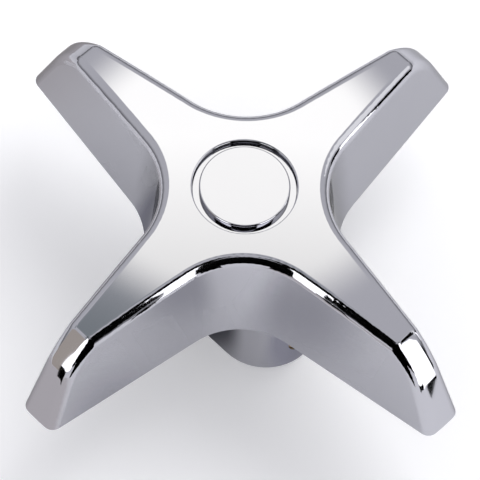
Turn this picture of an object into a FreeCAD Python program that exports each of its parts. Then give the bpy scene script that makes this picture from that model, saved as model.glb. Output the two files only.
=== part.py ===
import FreeCAD, Part
import math
import os

from FreeCAD import Vector

# Four-arm tap handle: a cored casting, a pressed-in button and a grub screw.
# The spindle axis is Z and the hub stands on Z = 0, with the screw under the +X arm.
# Sizes are in millimetres and degrees.

# The cross, measured at its lower edge
arm_count = 4
arm_reach = 36.0
arm_root_half = 8.25
arm_tip_half = 2.65
crotch_radius = 9.6
side_draft = 7.4
end_draft = 21.5

# The top of the cross, with heights above its lower edge
body_height = 15.0
nose_length = 7.8
break_height = 13.3
tip_height = 7.6
edge_radius = 1.4

# The core that hollows the underside
wall = 2.2
roof = 2.4
core_tip_wall = 5.5
core_end_draft = 38.0

# The oblong hub
hub_drop = 15.0
hub_radius = 7.0
nose_offset = 4.9
hub_chamfer = 0.4

# The socket for the spindle
mouth_radius = 5.0
mouth_depth = 2.2
spline_teeth = 20
spline_major_radius = 4.0
spline_minor_radius = 3.4
socket_depth = 16.0

# The button and its seat
recess_radius = 6.6
recess_depth = 2.0
recess_chamfer = 0.2
button_clearance = 0.05
button_step = 0.9
button_centre_radius = 5.7
button_chamfer = 0.25
peg_radius = 2.0
peg_length = 4.0
peg_end_gap = 0.4
peg_clearance = 0.03

# The grub screw and its hole
screw_radius = 2.45
screw_clearance = 0.05
screw_length = 6.0
screw_inset = 0.2
screw_height = 5.6
screw_chamfer = 0.4
key_sides = 6
key_across_flats = 2.5
key_depth = 2.6

# Heights and run-outs that follow from the sizes above
lower_edge = hub_drop
top = lower_edge + body_height
overrun = 1.0
match_distance = 1e-4
X_AXIS = Vector(1, 0, 0)
Z_AXIS = Vector(0, 0, 1)
ORIGIN = Vector(0, 0, 0)


def turned(point, degrees):
    """The point turned about the spindle axis."""
    angle = math.radians(degrees)
    x = point.x * math.cos(angle) - point.y * math.sin(angle)
    y = point.x * math.sin(angle) + point.y * math.cos(angle)
    return Vector(x, y, point.z)


def mirrored(point):
    """The point on the other side of the +X arm."""
    return Vector(point.x, -point.y, point.z)


def line(start, end):
    return Part.LineSegment(start, end).toShape()


def arc(start, middle, end):
    return Part.Arc(start, middle, end).toShape()


def tangent_arc(start, inward, end):
    """The arc from start to end whose centre lies from start along inward."""
    chord = end - start
    radius = chord.dot(chord) / (2 * chord.dot(inward))
    centre = start + inward * radius
    bisector = (start - centre + end - centre).normalize()
    return arc(start, centre + bisector * radius, end)


def cross_outline(height, inset, foot_reach, slope):
    """The cross cut level at a height above its lower edge, with its sides moved in by inset.

    The arm ends lie at foot_reach on the lower edge and lean in by slope.
    """
    arm_step = 360.0 / arm_count
    taper = math.atan2(arm_root_half - arm_tip_half, arm_reach)
    side_inset = inset + height * math.tan(math.radians(side_draft))
    reach = foot_reach - height * math.tan(math.radians(slope))
    root_half = arm_root_half - side_inset / math.cos(taper)
    end_half = root_half - reach * math.tan(taper)
    side = Vector(math.cos(taper), -math.sin(taper), 0)

    half_step = math.radians(arm_step / 2)
    corner_x = root_half / (math.tan(half_step) + math.tan(taper))
    corner = Vector(corner_x, corner_x * math.tan(half_step), height)
    crotch = crotch_radius + side_inset
    crotch_start = corner + side * (crotch / math.tan(half_step + taper))
    apex = corner.sub(Vector(0, 0, height)).Length + crotch / math.sin(half_step + taper) - crotch
    crotch_middle = Vector(apex * math.cos(half_step), apex * math.sin(half_step), height)

    foot = Vector(reach, end_half, height)

    edges = []
    for arm in range(arm_count):
        angle = arm * arm_step
        left = [turned(point, angle) for point in (crotch_start, foot)]
        right = [turned(mirrored(point), angle) for point in (crotch_start, foot)]
        next_start = turned(mirrored(crotch_start), angle + arm_step)
        edges.append(line(right[0], right[1]))
        edges.append(line(right[1], left[1]))
        edges.append(line(left[1], left[0]))
        edges.append(arc(left[0], turned(crotch_middle, angle), next_start))
    return Part.Wire(edges)


def wall_face(low, high):
    """The wall between two level edges: flat between lines and conical between arcs."""
    if isinstance(low.Curve, Part.Line):
        ends = [low.firstVertex(True), low.lastVertex(True), high.lastVertex(True), high.firstVertex(True)]
        points = [end.Point for end in ends]
        return Part.Face(Part.makePolygon(points + points[:1]))
    return Part.makeLoft([Part.Wire(low), Part.Wire(high)], False, True).Faces[0]


def cross_walls(bottom, summit, *form):
    """The drafted cross between two heights above its lower edge."""
    low = cross_outline(bottom, *form)
    high = cross_outline(summit, *form)
    faces = [wall_face(*pair) for pair in zip(low.Edges, high.Edges)]
    shell = Part.makeShell(faces + [Part.Face(low), Part.Face(high)])
    shell.sewShape()
    walls = Part.makeSolid(shell)
    walls.translate(Vector(0, 0, lower_edge))
    return walls


def crown():
    """Everything under the top: a shallow dome, a crease and a round nose at each arm's end."""
    lean = math.radians(end_draft)
    tip = Vector(arm_reach - tip_height * math.tan(lean), 0, tip_height)
    crease = Vector(arm_reach - nose_length, 0, break_height)
    foot = Vector(arm_reach + overrun * math.tan(lean), 0, -overrun)
    base = Vector(0, 0, -overrun)
    peak = Vector(0, 0, body_height)
    profile = [
        line(base, peak),
        tangent_arc(peak, Vector(0, 0, -1), crease),
        tangent_arc(tip, Vector(-math.cos(lean), 0, -math.sin(lean)), crease),
        line(tip, foot),
        line(foot, base),
    ]
    outline = Part.Wire(Part.sortEdges(profile)[0])
    solid = Part.makeSolid(Part.Face(outline).revolve(ORIGIN, Z_AXIS, 360).Shells[0])
    solid.translate(Vector(0, 0, lower_edge))
    return solid


def half_way(edge):
    """The point in the middle of an edge."""
    return edge.valueAt((edge.FirstParameter + edge.LastParameter) / 2)


def top_edge(solid, radius):
    """The highest edge that lies at this radius from the spindle axis."""
    fitting = []
    for edge in solid.Edges:
        middle = half_way(edge)
        if abs(math.hypot(middle.x, middle.y) - radius) < match_distance:
            fitting.append(edge)
    return [max(fitting, key=lambda edge: edge.CenterOfMass.z)]


def shared_edges(solid, first, second):
    """The edges of solid whose middle lies on the skin of both first and second."""
    found = []
    for edge in solid.Edges:
        middle = Part.Vertex(half_way(edge))
        on_first = first.Shells[0].distToShape(middle)[0] < match_distance
        on_second = second.Shells[0].distToShape(middle)[0] < match_distance
        if on_first and on_second:
            found.append(edge)
    return found


def oblong(height):
    """The hub's prism: a round about the spindle joined to an equal round at the screw's nose."""
    front = Vector(0, -hub_radius, 0)
    back = Vector(0, hub_radius, 0)
    shift = Vector(nose_offset, 0, 0)
    edges = [
        arc(back, Vector(-hub_radius, 0, 0), front),
        line(front, front + shift),
        arc(front + shift, Vector(nose_offset + hub_radius, 0, 0), back + shift),
        line(back + shift, back),
    ]
    return Part.Face(Part.Wire(edges)).extrude(Vector(0, 0, height))


def spline_prism(start, end):
    """The toothed bore of the socket, as a solid to cut away."""
    step = math.pi / spline_teeth
    points = []
    for tooth in range(spline_teeth):
        for radius, place in ((spline_major_radius, 2 * tooth), (spline_minor_radius, 2 * tooth + 1)):
            angle = place * step
            points.append(Vector(radius * math.cos(angle), radius * math.sin(angle), start))
    section = Part.Face(Part.makePolygon(points + points[:1]))
    return section.extrude(Vector(0, 0, end - start))


def handle_body():
    """The casting: drafted cross under its crown, cored from below, with the hub and its holes."""
    walls = cross_walls(0, body_height + overrun, 0, arm_reach + overrun, 0)
    shape = crown()
    cross = walls.common(shape)
    shared = shared_edges(cross, walls, shape)
    rim = [edge for edge in shared if edge.CenterOfMass.z > lower_edge + match_distance]
    cross = cross.makeFillet(edge_radius, rim)

    core_reach = arm_reach - core_tip_wall
    core = cross_walls(-overrun, body_height - roof, wall, core_reach, core_end_draft)

    hub = oblong(top - roof / 2)
    hub_end = [edge for edge in hub.Edges if edge.BoundBox.ZMax < match_distance]
    hub = hub.makeChamfer(hub_chamfer, hub_end)
    body = cross.cut(core).fuse(hub).removeSplitter()

    seat = Part.makeCylinder(recess_radius, recess_depth + overrun, Vector(0, 0, top - recess_depth))
    body = body.cut(seat)
    body = body.makeChamfer(recess_chamfer, top_edge(body, recess_radius))
    peg_hole_depth = peg_length + peg_end_gap
    peg_floor = Vector(0, 0, top - recess_depth - peg_hole_depth)
    peg_hole = Part.makeCylinder(peg_radius + peg_clearance, peg_hole_depth + overrun, peg_floor)
    mouth = Part.makeCylinder(mouth_radius, mouth_depth + overrun, Vector(0, 0, -overrun))
    socket = spline_prism(mouth_depth - overrun, socket_depth)
    screw_start = Vector(0, 0, screw_height)
    screw_run = nose_offset + hub_radius + overrun
    screw_hole = Part.makeCylinder(screw_radius + screw_clearance, screw_run, screw_start, X_AXIS)
    for hole in (peg_hole, mouth, socket, screw_hole):
        body = body.cut(hole)
    return body


def index_button():
    """The button: a flange in the recess, a raised centre flush with the top and a peg below."""
    seat_height = top - recess_depth
    flange_top = top - button_step
    flange_radius = recess_radius - button_clearance
    flange = Part.makeCylinder(flange_radius, flange_top - seat_height, Vector(0, 0, seat_height))
    centre = Part.makeCylinder(button_centre_radius, top - seat_height, Vector(0, 0, seat_height))
    centre = centre.makeChamfer(button_chamfer, top_edge(centre, button_centre_radius))
    peg = Part.makeCylinder(peg_radius, peg_length + overrun, Vector(0, 0, seat_height - peg_length))
    return flange.fuse([centre, peg]).removeSplitter()


def set_screw():
    """The grub screw, with a hexagon socket at its outer end and its axis along the +X arm."""
    outer = nose_offset + hub_radius - screw_inset
    start = Vector(outer - screw_length, 0, screw_height)
    shank = Part.makeCylinder(screw_radius, screw_length, start, X_AXIS)
    ends = [edge for edge in shank.Edges if isinstance(edge.Curve, Part.Circle)]
    shank = shank.makeChamfer(screw_chamfer, ends)
    corner_radius = key_across_flats / 2 / math.cos(math.pi / key_sides)
    corners = []
    for corner in range(key_sides):
        angle = corner * 2 * math.pi / key_sides
        place = Vector(outer - key_depth, corner_radius * math.cos(angle), corner_radius * math.sin(angle))
        corners.append(place + Vector(0, 0, screw_height))
    key = Part.Face(Part.makePolygon(corners + corners[:1])).extrude(X_AXIS * (key_depth + overrun))
    return shank.cut(key)


os.makedirs("parts", exist_ok=True)
for name, shape in (
    ("handle_body", handle_body()),
    ("index_button", index_button()),
    ("set_screw", set_screw()),
):
    print(name, len(shape.Solids), shape.isValid(), round(shape.Volume, 2), shape.BoundBox)
    shape.exportStep("parts/" + name + ".step")
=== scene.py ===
# %% [markdown]
# # A chrome cross handle for a tap
#
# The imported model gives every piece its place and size. Here it gets the looks of the real handle:
# a polished, chrome-plated casting, a pressed-in button and a small brass grub screw.

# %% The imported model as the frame
import math

import bpy
import numpy as np
from mathutils import Matrix, Vector


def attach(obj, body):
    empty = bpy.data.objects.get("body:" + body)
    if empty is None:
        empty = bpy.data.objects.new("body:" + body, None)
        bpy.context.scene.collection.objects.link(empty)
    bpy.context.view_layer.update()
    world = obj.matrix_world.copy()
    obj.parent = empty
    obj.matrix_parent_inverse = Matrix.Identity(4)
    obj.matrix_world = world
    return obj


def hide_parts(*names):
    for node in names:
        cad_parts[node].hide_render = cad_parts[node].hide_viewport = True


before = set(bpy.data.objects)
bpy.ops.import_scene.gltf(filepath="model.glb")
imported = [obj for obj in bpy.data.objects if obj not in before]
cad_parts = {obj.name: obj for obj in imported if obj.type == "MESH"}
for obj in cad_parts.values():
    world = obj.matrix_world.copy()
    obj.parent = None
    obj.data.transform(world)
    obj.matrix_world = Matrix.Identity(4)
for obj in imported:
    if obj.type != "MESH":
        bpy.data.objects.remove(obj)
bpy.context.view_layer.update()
MM = 0.001

# %% [markdown]
# ## Saying what an operator works on
#
# Operators act on whatever is selected, and a freshly loaded model is selected all over. So each step
# first says what it works on. One helper picks a piece. The other picks faces of it by their place and
# the way they face, as one would click them in edit mode.

# %% Helpers for selection


def work_on(piece):
    """Selects one piece alone and makes it the active one, in object mode."""
    if bpy.context.object and bpy.context.object.mode != "OBJECT":
        bpy.ops.object.mode_set(mode="OBJECT")
    bpy.ops.object.select_all(action="DESELECT")
    piece.select_set(True)
    bpy.context.view_layer.objects.active = piece


def choose(piece, wanted):
    """Selects the faces whose centre, in mm, and normal are wanted, and opens edit mode on faces."""
    work_on(piece)
    bpy.ops.object.mode_set(mode="EDIT")
    bpy.ops.mesh.select_mode(type="FACE")
    bpy.ops.mesh.select_all(action="DESELECT")
    bpy.ops.object.mode_set(mode="OBJECT")
    for face in piece.data.polygons:
        face.select = bool(wanted(face.center / MM, face.normal))
    bpy.ops.object.mode_set(mode="EDIT")


# %% [markdown]
# ## The casting
#
# The real body is one zinc casting, ground, polished and plated. It could be modelled again by hand, but
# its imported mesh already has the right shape. What that mesh lacks is good shading: polished chrome shows
# every small error of a surface normal as a dent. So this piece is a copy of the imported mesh, merged to
# one skin, and its normals are then set from the true surfaces.

# %% A merged copy of the casting's mesh
MERGE_DISTANCE = 1e-6

body = bpy.data.objects.new("handle_body_chrome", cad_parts["handle_body"].data.copy())
bpy.context.scene.collection.objects.link(body)
work_on(body)
bpy.ops.mesh.customdata_custom_splitnormals_clear()
bpy.ops.object.mode_set(mode="EDIT")
bpy.ops.mesh.select_all(action="SELECT")
bpy.ops.mesh.remove_doubles(threshold=MERGE_DISTANCE)
bpy.ops.object.mode_set(mode="OBJECT")
print("casting:", len(body.data.vertices), "points,", len(body.data.polygons), "faces")

# %% [markdown]
# Where the dome meets a nose there is a crease. Polishing leaves it a little round. A bevel would move
# the surfaces beside it, so the mesh is only cut on both sides of the crease, and the shading turns
# within that narrow strip.

# %% Cuts beside each crease
ARM_ANGLES = (0, 90, 180, 270)
CREASE_REACH = 28.2
CREASE_HALF_WIDTH = 0.35
CUT_FROM_REACH = 20
CUT_FROM_HEIGHT = 24.0
FACING_UP = 0.2


def on_arm_top(centre, normal, along):
    """Whether a face lies on the outer top of the arm that runs along a direction."""
    return centre.dot(along) > CUT_FROM_REACH and centre.z > CUT_FROM_HEIGHT and normal.z > FACING_UP


for degrees in ARM_ANGLES:
    along = Vector((math.cos(math.radians(degrees)), math.sin(math.radians(degrees)), 0))
    for offset in (-CREASE_HALF_WIDTH, CREASE_HALF_WIDTH):
        choose(body, lambda centre, normal: on_arm_top(centre, normal, along))
        bpy.ops.mesh.bisect(plane_co=along * (CREASE_REACH + offset) * MM, plane_no=along)
        bpy.ops.object.mode_set(mode="OBJECT")
print("casting after the cuts:", len(body.data.polygons), "faces")

# %% [markdown]
# ## True normals
#
# Smooth shading guesses each normal from the faces round a point, and long thin faces make poor guesses.
# The main surfaces of this casting are simple: a ball, rings, planes and cones. Their exact normals can
# be worked out, so they are written into the mesh. The fillet between them keeps the guessed ones.

# %% Every corner of the mesh as rows of numbers
SMOOTH_ANGLE = math.radians(30)
TINY = 1e-9

work_on(body)
bpy.ops.object.shade_smooth_by_angle(angle=SMOOTH_ANGLE)
mesh = body.data
points = np.empty(len(mesh.vertices) * 3, np.float32)
mesh.vertices.foreach_get("co", points)
points = points.reshape(-1, 3).astype(float) / MM
corner_point = np.empty(len(mesh.loops), np.int32)
mesh.loops.foreach_get("vertex_index", corner_point)
normals = np.empty(len(mesh.loops) * 3, np.float32)
mesh.corner_normals.foreach_get("vector", normals)
normals = normals.reshape(-1, 3).astype(float)
places = points[corner_point]
reach = np.hypot(places[:, 0], places[:, 1])
outward = places[:, :2] / np.maximum(reach, TINY)[:, None]
print("corners:", len(places))

# %% How a corner is settled on a surface
CREASE_HEIGHT = 28.3
ON_SURFACE = 0.003
NEAR_NORMAL = math.cos(math.radians(14))

on_crease = np.abs(reach - CREASE_REACH) < ON_SURFACE
on_crease &= np.abs(places[:, 2] - CREASE_HEIGHT) < ON_SURFACE
settled = {}


def settle(distance, true_normals):
    """Gives the corners that lie on a surface, and face along it already, its true normals."""
    facing = (normals * true_normals).sum(1) > NEAR_NORMAL
    held = (np.abs(distance) < ON_SURFACE) & facing & ~on_crease
    normals[held] = true_normals[held]
    return int(held.sum())


def ring_normals(side, rise):
    """Normals about the spindle axis from their outward and upward parts."""
    return np.column_stack([outward * np.broadcast_to(side, reach.shape)[:, None],
                            np.broadcast_to(rise, reach.shape)])


print("corners on the creases:", int(on_crease.sum()))

# %% The dome is part of a large ball
DOME_TOP = 30.0

drop = DOME_TOP - CREASE_HEIGHT
dome_radius = (CREASE_REACH**2 + drop**2) / (2 * drop)
dome_centre = np.array([0, 0, DOME_TOP - dome_radius])
from_centre = places - dome_centre
spread = np.linalg.norm(from_centre, axis=1)
dome_normals = from_centre / spread[:, None]
settled["dome"] = settle(spread - dome_radius, dome_normals)
print("dome of radius", round(dome_radius, 1), "mm")

# %% The noses are round in profile, and the ends lean in
TIP_REACH = 36.0
TIP_HEIGHT = 22.6
LOWER_EDGE = 15.0
END_LEAN = math.radians(21.5)

tip = np.array([TIP_REACH - (TIP_HEIGHT - LOWER_EDGE) * math.tan(END_LEAN), TIP_HEIGHT])
inward = np.array([-math.cos(END_LEAN), -math.sin(END_LEAN)])
chord = np.array([CREASE_REACH, CREASE_HEIGHT]) - tip
nose_radius = chord.dot(chord) / (2 * chord.dot(inward))
nose_centre = tip + inward * nose_radius
side = reach - nose_centre[0]
rise = places[:, 2] - nose_centre[1]
span = np.maximum(np.hypot(side, rise), TINY)
settled["noses"] = settle(span - nose_radius, ring_normals(side / span, rise / span))
end_distance = (reach - TIP_REACH) * math.cos(END_LEAN) + (places[:, 2] - LOWER_EDGE) * math.sin(END_LEAN)
settled["ends"] = settle(end_distance, ring_normals(math.cos(END_LEAN), math.sin(END_LEAN)))
print("noses of radius", round(nose_radius, 1), "mm")

# %% The sides are drafted planes, and the hollows between the arms are cones
SIDE_DRAFT = math.radians(7.4)
ARM_ROOT_HALF = 8.25
ARM_TIP_HALF = 2.65
CROTCH_RADIUS = 9.6

taper = math.atan2(ARM_ROOT_HALF - ARM_TIP_HALF, TIP_REACH)
half_turn = math.radians(45)
corner = ARM_ROOT_HALF / (math.tan(half_turn) + math.tan(taper)) / math.cos(half_turn)
hollow_reach = corner + CROTCH_RADIUS / math.sin(half_turn + taper)
settled["sides"] = 0
settled["hollows"] = 0
for degrees in ARM_ANGLES:
    turn = Matrix.Rotation(math.radians(degrees), 3, "Z")
    for hand in (1, -1):
        flat = Vector((math.sin(taper), hand * math.cos(taper), 0)) * math.cos(SIDE_DRAFT)
        plane = np.array(turn @ (flat + Vector((0, 0, math.sin(SIDE_DRAFT)))))
        start = np.array(turn @ Vector((0, hand * ARM_ROOT_HALF, LOWER_EDGE)))
        settled["sides"] += settle((places - start) @ plane, np.tile(plane, (len(places), 1)))
    axis = np.array(turn @ Vector((math.cos(half_turn), math.sin(half_turn), 0)))[:2] * hollow_reach
    away = places[:, :2] - axis
    wide = np.maximum(np.hypot(*away.T), TINY)
    hollow = CROTCH_RADIUS + (places[:, 2] - LOWER_EDGE) * math.tan(SIDE_DRAFT)
    to_axis = -away / wide[:, None] * math.cos(SIDE_DRAFT)
    true = np.column_stack([to_axis, np.full(len(places), math.sin(SIDE_DRAFT))])
    settled["hollows"] += settle((wide - hollow) * math.cos(SIDE_DRAFT), true)
print("arms taper by", round(math.degrees(taper), 2), "degrees on each side")

# %% The rim of the button's seat, and the normals written to the mesh
SEAT_RIM = 6.7
RIM_WIDTH, RIM_DEPTH = 0.15, 0.4
RIM_RISE, RIM_RISE_SPREAD = 0.7, 0.2
INNER_LEAN = (-0.6, 0.8)

rim = np.abs(reach - SEAT_RIM) < RIM_WIDTH
rim &= places[:, 2] > DOME_TOP - RIM_DEPTH
rim &= np.abs(normals[:, 2] - RIM_RISE) < RIM_RISE_SPREAD
outer = rim & (reach > SEAT_RIM)
inner = rim & ~outer
normals[outer] = dome_normals[outer]
normals[inner] = ring_normals(*INNER_LEAN)[inner]
settled["rim of the seat"] = int(rim.sum())
mesh.normals_split_custom_set(normals.tolist())
print("corners settled on true surfaces:", settled, "of", len(normals))

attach(body, "root")
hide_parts("handle_body")

# %% [markdown]
# ## Chrome plate
#
# Chrome plate is a thin, hard mirror. It gives back a little over half of the light with hardly any
# colour. Polishing by hand leaves two small faults that keep it from looking like glass: patches where
# the shine is a touch softer, and waves a few millimetres long that bend a straight reflection slightly.
# A plain mirror shader would miss both, so the shader gets a noise for each. A colour is written as the
# hex value that a paint chart would give, and one function makes it linear.

# %% Helpers for colours and nodes


def linear(hex_colour):
    """The linear colour, with alpha, of an sRGB hex value."""
    parts = [int(hex_colour[i:i + 2], 16) / 255 for i in (1, 3, 5)]
    return (*(c / 12.92 if c <= 0.04045 else ((c + 0.055) / 1.055) ** 2.4 for c in parts), 1.0)


def add_node(tree, kind, links=None, values=None, **settings):
    """Adds a node, sets its properties and socket values, and links its inputs from other sockets."""
    node = tree.nodes.new(kind)
    for name, value in settings.items():
        setattr(node, name, value)
    for name, value in (values or {}).items():
        node.inputs[name].default_value = value
    for name, socket in (links or {}).items():
        tree.links.new(socket, node.inputs[name])
    return node


def new_material(name):
    """A material with an empty node tree."""
    material = bpy.data.materials.new(name)
    material.use_nodes = True
    material.node_tree.nodes.clear()
    return material


def per_metre(size_mm):
    """The texture scale at which one feature has about this size."""
    return 1 / (size_mm * MM)


# %% How a metal is built
# The colour sockets of a Mix node share their names with its other sockets, so they go by number.
MIX_FIRST, MIX_SECOND, MIX_RESULT = 6, 7, 2
PATCH_LOW, PATCH_HIGH = 0.35, 0.65


def metal(name, colours, patch_mm, roughness, grain_mm, grain_height_mm, stretch=(1, 1, 1),
          glancing="#FFFFFF"):
    """A bare or plated metal: two close tones and two roughnesses in soft patches, and a fine grain."""
    material = new_material(name)
    tree = material.node_tree
    place = add_node(tree, "ShaderNodeTexCoord").outputs["Object"]
    patches = add_node(tree, "ShaderNodeTexNoise", {"Vector": place},
                       {"Scale": per_metre(patch_mm), "Detail": 3.0})
    tone = add_node(tree, "ShaderNodeMix", {"Factor": patches.outputs["Fac"]}, data_type="RGBA")
    tone.inputs[MIX_FIRST].default_value = linear(colours[0])
    tone.inputs[MIX_SECOND].default_value = linear(colours[1])
    shine = add_node(tree, "ShaderNodeMapRange", {"Value": patches.outputs["Fac"]},
                     {"From Min": PATCH_LOW, "From Max": PATCH_HIGH,
                      "To Min": roughness[0], "To Max": roughness[1]})
    squeezed = add_node(tree, "ShaderNodeMapping", {"Vector": place}, {"Scale": stretch})
    grain = add_node(tree, "ShaderNodeTexNoise", {"Vector": squeezed.outputs["Vector"]},
                     {"Scale": per_metre(grain_mm), "Detail": 2.0})
    bump = add_node(tree, "ShaderNodeBump", {"Height": grain.outputs["Fac"]},
                    {"Strength": 1.0, "Distance": grain_height_mm * MM})
    shader = add_node(tree, "ShaderNodeBsdfPrincipled",
                      {"Base Color": tone.outputs[MIX_RESULT], "Roughness": shine.outputs["Result"],
                       "Normal": bump.outputs["Normal"]},
                      {"Metallic": 1.0, "Specular Tint": linear(glancing)})
    add_node(tree, "ShaderNodeOutputMaterial", {"Surface": shader.outputs["BSDF"]})
    return material


# %% Polished chrome on the casting
# A near mirror with soft patches and long waves. Real chromium gives back more at a glancing angle than
# this does. It is held down here so that the walls of the arms stay a middle grey.
polished = metal("polished_chrome_plate", ("#BDBDC4", "#C0C0C6"), patch_mm=9.0, roughness=(0.04, 0.065),
                 grain_mm=4.0, grain_height_mm=0.0003, glancing="#B8B8B8")
body.data.materials.clear()
body.data.materials.append(polished)
print(polished.name, "with", len(polished.node_tree.nodes), "nodes")

# %% [markdown]
# ## The skin under the arms and the bare bores
#
# Nobody polishes the hollow underside. The plate lies there on the skin that the die left, so it is
# duller and finely grained. The bores are cut after plating and show the bare grey zinc with the fine
# rings of the drill. Both could be pieces of their own, but on the real handle they are faces of the same
# casting, so they only get another material.

# %% Cast skin and bare zinc
# The skin blurs what it mirrors and glitters slightly. Its grain is drawn coarser than the real one,
# which would be too fine to show.
cast = metal("chrome_plate_on_cast_skin", ("#B4B5B8", "#C0C0C3"), patch_mm=5.0, roughness=(0.22, 0.36),
             grain_mm=0.6, grain_height_mm=0.012)
# Drilled zinc is a darker, slightly warm grey. Its grain is squeezed along the spindle, as rings are.
zinc = metal("drilled_zinc", ("#9C9C9A", "#ABABA8"), patch_mm=3.0, roughness=(0.26, 0.4),
             grain_mm=0.5, grain_height_mm=0.008, stretch=(1, 1, 4))
print("finishes:", cast.name, "and", zinc.name)

# %% Their faces on the casting
SKIN = 0.01
HOLLOW_TOP = 28
FACING_DOWN = -0.05
BORE_REACH, BORE_TOP = 5.2, 24.6
SCREW_HEIGHT = 5.6
SCREW_HOLE_FROM, SCREW_HOLE_TO, SCREW_HOLE_RADIUS = 3.5, 11.8, 2.6
FACING_ALONG = 0.5


def under_arms(centre, normal):
    """Faces in the hollow below the arms."""
    return LOWER_EDGE + SKIN < centre.z < HOLLOW_TOP and normal.z < FACING_DOWN


def in_bores(centre, normal):
    """Faces of the spindle's socket and of the screw's hole."""
    in_socket = math.hypot(centre.x, centre.y) < BORE_REACH and SKIN < centre.z < BORE_TOP
    in_reach = SCREW_HOLE_FROM < centre.x < SCREW_HOLE_TO
    in_screw_hole = in_reach and math.hypot(centre.y, centre.z - SCREW_HEIGHT) < SCREW_HOLE_RADIUS
    return in_socket or (in_screw_hole and abs(normal.x) < FACING_ALONG)


for material, wanted in ((cast, under_arms), (zinc, in_bores)):
    body.data.materials.append(material)
    number = len(body.data.materials) - 1
    choose(body, wanted)
    body.active_material_index = number
    bpy.ops.object.material_slot_assign()
    bpy.ops.object.mode_set(mode="OBJECT")
    print(material.name, "on", sum(face.material_index == number for face in body.data.polygons), "faces")

# %% [markdown]
# ## The button
#
# The button is a turned part: a peg, a flange that rests on the floor of the seat, and a raised centre.
# Its profile could be spun, but then its pole has to be closed. Growing it from one filled circle keeps
# it closed all the way: each extrusion adds a step, and each resize sets the width of the next one.

# %% Button grown from a circle
BUTTON_SIDES = 144
PEG_RADIUS, FLANGE_RADIUS, CENTRE_RADIUS = 2.0, 6.55, 5.7
PEG_END, SEAT, FLANGE_TOP, BUTTON_TOP = 24.0, 28.0, 29.1, 30.0


def rise_by(height_mm):
    """Extrudes the selected face upwards."""
    bpy.ops.mesh.extrude_region_move(TRANSFORM_OT_translate={"value": (0, 0, height_mm * MM)})


def widen_by(factor, level_mm):
    """Extrudes the selected face in its own plane and scales it about the spindle axis."""
    bpy.ops.mesh.extrude_region_move(TRANSFORM_OT_translate={"value": (0, 0, 0)})
    bpy.ops.transform.resize(value=(factor, factor, 1), center_override=(0, 0, level_mm * MM))


bpy.ops.object.select_all(action="DESELECT")
bpy.ops.mesh.primitive_circle_add(vertices=BUTTON_SIDES, radius=PEG_RADIUS * MM, fill_type="NGON")
button = bpy.context.object
button.name = "button_turned"
bpy.ops.object.mode_set(mode="EDIT")
bpy.ops.mesh.select_all(action="SELECT")
bpy.ops.transform.translate(value=(0, 0, PEG_END * MM))
rise_by(SEAT - PEG_END)
widen_by(FLANGE_RADIUS / PEG_RADIUS, SEAT)
rise_by(FLANGE_TOP - SEAT)
widen_by(CENTRE_RADIUS / FLANGE_RADIUS, FLANGE_TOP)
rise_by(BUTTON_TOP - FLANGE_TOP)
bpy.ops.mesh.select_all(action="SELECT")
bpy.ops.mesh.normals_make_consistent(inside=False)
bpy.ops.object.mode_set(mode="OBJECT")
print("button as grown:", len(button.data.polygons), "faces")

# %% [markdown]
# Polishing rounds the button's rims, so they are bevelled. The smooth shading of a bevel would also bend
# the flat faces beside it, and a mirror shows that. A narrow inset round each flat face keeps the bend
# in a thin ring.

# %% Rounded rims and flat faces
CENTRE_ROUNDING, FLANGE_ROUNDING, PEG_ROUNDING = 0.18, 0.06, 0.3
FLAT_RING = 0.05
AT_PLACE = 0.01
AT_LEVEL = 0.001
LEVEL_FACE = 0.99


def pick_edges(piece, wanted):
    """Selects the edges whose two ends, in mm, are both wanted, and opens edit mode on edges."""
    work_on(piece)
    bpy.ops.object.mode_set(mode="EDIT")
    bpy.ops.mesh.select_mode(type="EDGE")
    bpy.ops.mesh.select_all(action="DESELECT")
    bpy.ops.object.mode_set(mode="OBJECT")
    ends = [wanted(vertex.co / MM) for vertex in piece.data.vertices]
    for edge in piece.data.edges:
        edge.select = all(ends[i] for i in edge.vertices)
    bpy.ops.object.mode_set(mode="EDIT")


def on_circle(at, radius_mm, level_mm):
    """Whether a point lies on a level circle about the spindle axis."""
    return abs(math.hypot(at.x, at.y) - radius_mm) < AT_PLACE and abs(at.z - level_mm) < AT_PLACE


def round_rim(piece, radius_mm, level_mm, size_mm, steps):
    """Bevels the round edge at a radius and a height."""
    pick_edges(piece, lambda at: on_circle(at, radius_mm, level_mm))
    bpy.ops.mesh.bevel(offset=size_mm * MM, segments=steps, profile=0.5, affect="EDGES")
    bpy.ops.object.mode_set(mode="OBJECT")


round_rim(button, CENTRE_RADIUS, BUTTON_TOP, CENTRE_ROUNDING, 5)
round_rim(button, FLANGE_RADIUS, FLANGE_TOP, FLANGE_ROUNDING, 3)
round_rim(button, PEG_RADIUS, PEG_END, PEG_ROUNDING, 2)
for level in (BUTTON_TOP, FLANGE_TOP):
    choose(button, lambda centre, normal: abs(centre.z - level) < AT_LEVEL and normal.z > LEVEL_FACE)
    bpy.ops.mesh.inset(thickness=FLAT_RING * MM)
    bpy.ops.object.mode_set(mode="OBJECT")
work_on(button)
bpy.ops.object.shade_smooth_by_angle(angle=SMOOTH_ANGLE)
button.data.materials.append(polished)
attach(button, "root")
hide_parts("index_button")
print("button:", len(button.data.polygons), "faces")

# %% [markdown]
# ## The grub screw
#
# A grub screw is a short threaded rod with a hexagon socket. Rings round a rod would look like a thread
# from afar, but a thread climbs. So it is one zigzag that the Screw modifier winds upwards, one pitch in
# each turn. Two cuts give it flat ends, a rod with cone ends shapes the chamfers, and a six-sided rod
# leaves the socket. It is made upright at the origin and then turned over to lie in its hole.

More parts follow.
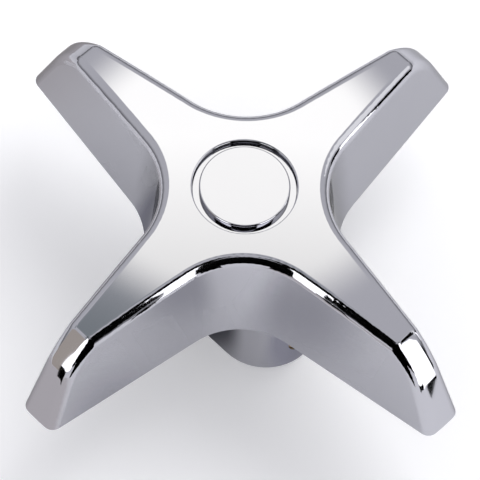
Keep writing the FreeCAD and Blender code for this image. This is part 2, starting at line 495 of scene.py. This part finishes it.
# %% Thread wound from a zigzag
PITCH = 0.8
THREAD_OUTER, THREAD_ROOT = 2.45, 2.0
ROOT_SHARE, FLANK_SHARE, CREST_SHARE = 0.12, 0.33, 0.22
SCREW_LENGTH = 6.0
START_BELOW, SPARE_TURNS = 1.5, 3
TURN_STEPS = 48


def draw_to(*step_mm):
    """Draws an edge from the selected point."""
    bpy.ops.mesh.extrude_region_move(TRANSFORM_OT_translate={"value": [value * MM for value in step_mm]})


def apply_modifier(piece, kind, **settings):
    """Adds a modifier with these settings and applies it."""
    work_on(piece)
    modifier = piece.modifiers.new(kind.lower(), kind)
    for name, value in settings.items():
        setattr(modifier, name, value)
    bpy.ops.object.modifier_apply(modifier=modifier.name)


bpy.ops.object.select_all(action="DESELECT")
bpy.ops.mesh.primitive_plane_add(size=MM)
screw = bpy.context.object
screw.name = "grub_screw_turned"
bpy.ops.object.mode_set(mode="EDIT")
bpy.ops.mesh.select_mode(type="VERT")
bpy.ops.mesh.select_all(action="SELECT")
bpy.ops.mesh.merge(type="CENTER")
bpy.ops.transform.translate(value=(THREAD_ROOT * MM, 0, -PITCH * START_BELOW * MM))
flank = THREAD_OUTER - THREAD_ROOT
draw_to(0, 0, PITCH * ROOT_SHARE)
draw_to(flank, 0, PITCH * FLANK_SHARE)
draw_to(0, 0, PITCH * CREST_SHARE)
draw_to(-flank, 0, PITCH * FLANK_SHARE)
bpy.ops.object.mode_set(mode="OBJECT")
turns = math.ceil(SCREW_LENGTH / PITCH) + SPARE_TURNS
apply_modifier(screw, "SCREW", axis="Z", angle=2 * math.pi, screw_offset=PITCH * MM, iterations=turns,
               steps=TURN_STEPS, render_steps=TURN_STEPS)
print("thread of", turns, "turns")

# %% Thread cut to length
TRIM = 0.1

bpy.ops.object.mode_set(mode="EDIT")
bpy.ops.mesh.select_all(action="SELECT")
bpy.ops.mesh.remove_doubles(threshold=MERGE_DISTANCE)
for level, clear in ((-TRIM, {"clear_inner": True}), (SCREW_LENGTH + TRIM, {"clear_outer": True})):
    bpy.ops.mesh.select_all(action="SELECT")
    bpy.ops.mesh.bisect(plane_co=(0, 0, level * MM), plane_no=(0, 0, 1), use_fill=True, **clear)
bpy.ops.mesh.select_all(action="SELECT")
bpy.ops.mesh.normals_make_consistent(inside=False)
bpy.ops.object.mode_set(mode="OBJECT")
print("wound thread:", len(screw.data.polygons), "faces")

# %% Chamfered ends and hexagon socket
BLANK_SIDES, BLANK_SPARE = 96, 0.15
SCREW_CHAMFER = 0.4
KEY_FLATS, KEY_DEPTH, KEY_SPARE = 2.5, 2.6, 1


def rod(name, radius_mm, length_mm, sides, middle_mm):
    """An upright rod about the Z axis."""
    bpy.ops.object.select_all(action="DESELECT")
    bpy.ops.mesh.primitive_cylinder_add(vertices=sides, radius=radius_mm * MM, depth=length_mm * MM,
                                        location=(0, 0, middle_mm * MM))
    made = bpy.context.object
    made.name = name
    return made


blank_radius = THREAD_OUTER + BLANK_SPARE
blank = rod("screw_blank", blank_radius, SCREW_LENGTH, BLANK_SIDES, SCREW_LENGTH / 2)
bpy.ops.object.transform_apply(location=True)
for level in (0, SCREW_LENGTH):
    round_rim(blank, blank_radius, level, SCREW_CHAMFER + BLANK_SPARE, 1)
apply_modifier(screw, "BOOLEAN", operation="INTERSECT", solver="EXACT", object=blank)
key = rod("hexagon_key", KEY_FLATS / math.sqrt(3), KEY_DEPTH + KEY_SPARE, 6,
          SCREW_LENGTH - KEY_DEPTH / 2 + KEY_SPARE / 2)
apply_modifier(screw, "BOOLEAN", operation="DIFFERENCE", solver="EXACT", object=key)
for tool in (blank, key):
    bpy.data.objects.remove(tool)
print("screw with its socket:", len(screw.data.polygons), "faces")

# %% The screw laid in its hole
SCREW_START = 5.7

work_on(screw)
bpy.ops.object.mode_set(mode="EDIT")
bpy.ops.mesh.select_all(action="SELECT")
bpy.ops.transform.rotate(value=math.radians(-90), orient_axis="Y", center_override=(0, 0, 0))
bpy.ops.transform.translate(value=(SCREW_START * MM, 0, SCREW_HEIGHT * MM))
bpy.ops.object.mode_set(mode="OBJECT")
bpy.ops.object.shade_smooth_by_angle(angle=SMOOTH_ANGLE)
print("screw from", [round(v / MM, 2) for v in screw.bound_box[0]], "to",
      [round(v / MM, 2) for v in screw.bound_box[6]], len(screw.data.polygons), "faces")

# %% [markdown]
# The screw is left as it comes off the lathe. Brass is a warm yellow that dulls to tan in a damp room,
# and the tool leaves fine rings round the axis, so the grain is squeezed along the screw.

# %% Turned brass
# A tan metal with a broad, soft shine.
brass = metal("turned_brass", ("#C9AC86", "#D6BD9A"), patch_mm=2.0, roughness=(0.4, 0.55),
              grain_mm=0.5, grain_height_mm=0.004, stretch=(5, 1, 1))
screw.data.materials.append(brass)
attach(screw, "root")
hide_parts("set_screw")
print(brass.name, "on the screw")

# %% [markdown]
# ## The studio
#
# Chrome has no look of its own: it shows the room. A picture of a room could be wrapped round the scene,
# but cards are easier to move. So the light is built as a photographer builds it for chrome: a round soft
# lamp behind and above, pale cards beside the arms, and a large black card towards the camera that draws
# the dark lines along the edges. Dark and grey sheets on the floor are painted shade for the handle's own
# shadow there. Only reflections show the cards and sheets: the camera doesn't see them, and they cast no
# light or shadow on the floor.

# %% Places in the studio, as the camera sees them
VIEW_TURN = math.radians(42.53)
VIEW_RIGHT = Vector((math.cos(VIEW_TURN), math.sin(VIEW_TURN), 0))
VIEW_AWAY = Vector((-math.sin(VIEW_TURN), math.cos(VIEW_TURN), 0))
UP = Vector((0, 0, 1))
CARD_AIM = 25


def studio(right_mm, away_mm, up_mm):
    """A place given as the camera sees it: to the right, away from it, and up."""
    return (VIEW_RIGHT * right_mm + VIEW_AWAY * away_mm + UP * up_mm) * MM


def sky(azimuth, elevation, distance_mm):
    """A place by its azimuth, from straight behind the handle towards the right, and its elevation."""
    a = math.radians(azimuth)
    e = math.radians(elevation)
    level = math.cos(e) * distance_mm
    return studio(math.sin(a) * level, math.cos(a) * level, math.sin(e) * distance_mm + CARD_AIM)


# %% Cards
def card(name, place, size_mm, material, facing=None):
    """A flat card at a place, facing the handle or another place."""
    way = (facing or studio(0, 0, CARD_AIM)) - place
    bpy.ops.object.select_all(action="DESELECT")
    bpy.ops.mesh.primitive_plane_add(size=1, location=place,
                                     rotation=way.to_track_quat("Z", "Y").to_euler())
    made = bpy.context.object
    made.name = name
    made.scale = (size_mm[0] * MM, size_mm[1] * MM, 1)
    made.visible_camera = False
    made.visible_shadow = False
    made.visible_diffuse = False
    made.data.materials.append(material)


# %% [markdown]
# A card is a sheet that shines evenly. A soft card fades out towards a round edge, as the cloth of a
# softbox does, so its reflection has no hard border. Blurring the chrome instead would blur every line.

# %% Light of a card
FALL_FROM, FALL_TO = -0.08, 0.36


def glow(name, colour, strength, soft=None, upper=1.0):
    """Light of one colour. A soft card is round, fades out from a share of its radius and may be
    weaker towards its upper edge."""
    material = new_material(name)
    tree = material.node_tree
    light = add_node(tree, "ShaderNodeEmission", {}, {"Color": linear(colour), "Strength": strength})
    surface = light.outputs["Emission"]
    if soft:
        place = add_node(tree, "ShaderNodeTexCoord").outputs["Object"]
        radius = add_node(tree, "ShaderNodeVectorMath", {0: place}, operation="LENGTH").outputs["Value"]
        edge = add_node(tree, "ShaderNodeMapRange", {"Value": radius},
                        {"From Min": 0.5, "From Max": soft / 2, "To Min": 0.0, "To Max": 1.0},
                        interpolation_type="SMOOTHSTEP")
        if upper < 1.0:
            height = add_node(tree, "ShaderNodeSeparateXYZ", {"Vector": place}).outputs["Y"]
            fall = add_node(tree, "ShaderNodeMapRange", {"Value": height},
                            {"From Min": FALL_FROM, "From Max": FALL_TO,
                             "To Min": strength, "To Max": strength * upper})
            tree.links.new(fall.outputs["Result"], light.inputs["Strength"])
        clear = add_node(tree, "ShaderNodeBsdfTransparent")
        mixed = add_node(tree, "ShaderNodeMixShader",
                         {0: edge.outputs["Result"], 1: clear.outputs["BSDF"], 2: surface})
        surface = mixed.outputs["Shader"]
    add_node(tree, "ShaderNodeOutputMaterial", {"Surface": surface})
    return material


# %% [markdown]
# The softbox makes the white of the dome, and its soft edge makes the fade along the arms. As a card it
# shows in reflections alone, so a lamp beside it lights the floor and makes the shadow. The lamp hides
# from reflections, because the chrome would show it as a second white disc.

# %% Softbox, lamp and grey cloth
LAMP_SIZE = 0.28
LAMP_POWER = 0.66

card("softbox", sky(-1.6, 59.3, 900), (472, 472), glow("softbox_cloth", "#FFFEF7", 1.92, 0.68, 0.74))
lamp_place = sky(42, 55, 380)
bpy.ops.object.select_all(action="DESELECT")
bpy.ops.object.light_add(type="AREA", location=lamp_place,
                         rotation=lamp_place.to_track_quat("Z", "Y").to_euler())
lamp = bpy.context.object
lamp.data.shape = "DISK"
lamp.data.size = LAMP_SIZE
lamp.data.energy = LAMP_POWER
lamp.visible_glossy = False
card("grey_cloth", sky(-52, 74, 1000), (600, 600), glow("grey_cloth", "#F0FAFF", 0.36, 0.3))
print("lamp of", lamp.data.energy, "W at", [round(value / MM) for value in lamp_place])

# %% [markdown]
# The far cards are large. A pale cloth on the right lights that side, and the black ones stand on the
# camera's side, where the rim's fillet picks them up as a thin dark line.

# %% Far cards
white_card = glow("white_card", "#FFFFFF", 2.5)
tan_card = glow("tan_card", "#DCD2C8", 0.8)
black_card = glow("black_card", "#000000", 0.0)

card("right_cloth", sky(78, 47, 600), (320, 410), glow("right_cloth", "#FFFFFF", 1.3))
card("black_flag", sky(178, 28, 700), (1350, 1118), black_card)
card("black_roof_right", sky(122, 69, 600), (230, 230), black_card)
card("black_roof_left", sky(-126, 69, 600), (230, 230), black_card)
print("cards of", [material.name for material in (white_card, tan_card, black_card)])

# %% [markdown]
# The near cards are small and stand close to the front arms. Each makes one mark: the white stretches
# along the front rim, the bright noses, or the dark ends of those marks.

# %% Near cards
# Name, place to the right and away, width, lower and upper edge in mm, finish, and the place it faces
NEAR_CARDS = (
    ("right_near_card", 55.6, -34.4, 15.5, 7.5, 125, white_card, (38.7, -9.6)),
    ("right_mid_card", 41.1, -44.2, 19.6, 15, 125, white_card, (24.2, -19.4)),
    ("right_mid_edge", 41.1, -44.2, 19.6, 11, 15, black_card, (24.2, -19.4)),
    ("right_near_edge", 59, -32.1, 9, 3, 7.5, black_card, (42.1, -7.3)),
    ("right_near_dark", 14, -37.2, 13.7, 14.5, 30.5, black_card, (21, -21)),
    ("left_far_card", -71.4, -42.7, 40, 12, 95, tan_card, (-25, -24)),
    ("left_near_card", -38.8, -46.7, 27.4, 22.5, 120, white_card, (-24.4, -20.4)),
    ("left_near_edge", -44.5, -43.6, 15, 11, 22.5, black_card, (-30.1, -17.3)),
    ("left_near_dark", -11.7, -38.5, 15.5, 17.5, 29.5, black_card, (-18.7, -23.5)),
    ("right_dark", 80, 15.2, 13.5, 28, 52, black_card, (20, 15.2)),
    ("right_gap", 80, 3.5, 10, 28, 56, white_card, (20, 3.5)),
    ("right_dark_front", 80, -27, 14, 8, 45, black_card, (25, -24)),
)


def standing(name, right_mm, away_mm, width_mm, low_mm, high_mm, material, facing):
    """An upright card from one height to another."""
    middle = (low_mm + high_mm) / 2
    card(name, studio(right_mm, away_mm, middle), (width_mm, high_mm - low_mm), material,
         studio(*facing, middle))


for row in NEAR_CARDS:
    standing(*row)
card("crease_dark", studio(55, -15, 77), (24, 24), black_card, studio(21, -21, 28))
print("near cards:", len(NEAR_CARDS) + 1)

# %% [markdown]
# Seen from above, the walls of the arms mirror the floor. Near and under the handle that floor lies in the
# handle's shadow, so soft grey and dark sheets lie there as painted shade: they are dimmer than the lit
# floor, only reflections show them, and they give the walls and the hub their darker parts. Grey painted
# on the walls would stay put when the view moves, and a reflection doesn't.

# %% Painted shade: dim sheets on the floor, seen only in reflections
SHADE_SHEET_HEIGHT = 0.4
SHADE_SHEET_FACES = 100

# Each glow is a dim grey or near black that fades out at a soft edge: painted shade for the handle's shadow
# on the floor.
painted_dark_shade = glow("painted_dark_shade", "#F0F0FF", 0.1, 0.2)
soft_shade = glow("soft_shade", "#F0F0FF", 0.52, 0.35)
painted_grey_shade = glow("painted_grey_shade", "#FBF6F7", 0.74, 0.6)
painted_fading_shade = glow("painted_fading_shade", "#F2F2FA", 0.56, 0.05)

# Name, place to the right and away, and width in mm, and the glow of its painted shade
PAINTED_SHADE_SHEETS = (
    ("hub_painted_shade", -6, -7, 15, painted_dark_shade),
    ("left_hollow_painted_shade", -19, 10, 18, soft_shade),
    ("front_left_painted_shade", -64, -58, 134, painted_grey_shade),
    ("front_shade_paper", -8, -25, 25, painted_fading_shade),
    ("front_right_painted_shade", 14, -24, 18, painted_fading_shade),
    ("hub_right_painted_shade", 9, -12, 13, soft_shade),
    ("back_left_painted_shade", -62, 58, 116, painted_grey_shade),
)

for name, right_mm, away_mm, width_mm, material in PAINTED_SHADE_SHEETS:
    card(name, studio(right_mm, away_mm, SHADE_SHEET_HEIGHT), (width_mm, width_mm), material,
         studio(right_mm, away_mm, SHADE_SHEET_FACES))
print("papers on the floor:", len(PAINTED_SHADE_SHEETS))

# %% [markdown]
# ## Floor and room
#
# The floor is matt white paper. To look white it would need much light, and that would fall on the handle
# too. So it gets a little light of its own, which only the camera and mirrors see, and the shadow stays.

# %% Floor
FLOOR_RADIUS = 3.0
FLOOR_SIDES = 96
FLOOR_LIFT = 0.21

floor_paper = new_material("white_paper_floor")
tree = floor_paper.node_tree
path = add_node(tree, "ShaderNodeLightPath")
seen = add_node(tree, "ShaderNodeMath",
                {0: path.outputs["Is Camera Ray"], 1: path.outputs["Is Glossy Ray"]}, operation="MAXIMUM")
seen = add_node(tree, "ShaderNodeMath", {0: seen.outputs[0], 1: path.outputs["Is Transmission Ray"]},
                operation="MAXIMUM")
lift = add_node(tree, "ShaderNodeMath", {0: seen.outputs[0]}, {1: FLOOR_LIFT}, operation="MULTIPLY")
matt = add_node(tree, "ShaderNodeBsdfDiffuse", {}, {"Color": linear("#F1F1F2")})
light = add_node(tree, "ShaderNodeEmission", {"Strength": lift.outputs[0]}, {"Color": linear("#FFFFFF")})
both = add_node(tree, "ShaderNodeAddShader", {0: matt.outputs["BSDF"], 1: light.outputs["Emission"]})
add_node(tree, "ShaderNodeOutputMaterial", {"Surface": both.outputs["Shader"]})
bpy.ops.object.select_all(action="DESELECT")
bpy.ops.mesh.primitive_circle_add(vertices=FLOOR_SIDES, radius=FLOOR_RADIUS, fill_type="NGON")
floor = bpy.context.object
floor.name = "floor"
floor.data.materials.append(floor_paper)
print("floor of", 2 * FLOOR_RADIUS, "m across")

# %% [markdown]
# The room is a plain pale grey that is darker near the floor, as a real room is below its windows. An
# even white would leave the chrome without any shape.

# %% Room
ROOM_LOW, ROOM_HIGH = 0.22, 0.73
ROOM_FULL_AT = 0.5

world = bpy.data.worlds.new("pale_room")
bpy.context.scene.world = world
world.use_nodes = True
world.node_tree.nodes.clear()
tree = world.node_tree
way = add_node(tree, "ShaderNodeTexCoord").outputs["Generated"]
height = add_node(tree, "ShaderNodeSeparateXYZ", {"Vector": way}).outputs["Z"]
level = add_node(tree, "ShaderNodeMapRange", {"Value": height},
                 {"From Min": 0.0, "From Max": ROOM_FULL_AT, "To Min": ROOM_LOW, "To Max": ROOM_HIGH},
                 interpolation_type="SMOOTHSTEP")
room = add_node(tree, "ShaderNodeBackground", {"Strength": level.outputs["Result"]},
                {"Color": linear("#FAFAFF")})
add_node(tree, "ShaderNodeOutputWorld", {"Surface": room.outputs["Background"]})
print("room:", world.name)

# %% [markdown]
# ## Camera
#
# The camera looks down from high in front, between two arms, with a long lens from half a metre. It could
# be aimed with a constraint, but turning it by its own axes also sets its roll.

# %% Camera
VIEW_RISE = math.radians(61.84)
CAMERA_ROLL = math.radians(3.11)
CAMERA_DISTANCE = 545.2
CAMERA_SLIDE = (-0.207, 0.338)
CAMERA_LENS = 320.6
AIM_HEIGHT = 15.0

back = UP * math.sin(VIEW_RISE) - VIEW_AWAY * math.cos(VIEW_RISE)
up = back.cross(VIEW_RIGHT)
basis = Matrix((VIEW_RIGHT, up, back)).transposed() @ Matrix.Rotation(CAMERA_ROLL, 3, "Z")
place = basis @ Vector((*CAMERA_SLIDE, CAMERA_DISTANCE)) + Vector((0, 0, AIM_HEIGHT))
camera = bpy.data.objects.new("camera", bpy.data.cameras.new("camera"))
bpy.context.scene.collection.objects.link(camera)
camera.matrix_world = Matrix.Translation(place * MM) @ basis.to_4x4()
camera.data.lens = CAMERA_LENS
bpy.context.scene.camera = camera
print("camera at", [round(value) for value in place], "mm")

# %% [markdown]
# ## Colours
#
# Last, the colours are shown as they are.

# %% Colours shown as they are
bpy.context.scene.view_settings.view_transform = "Standard"
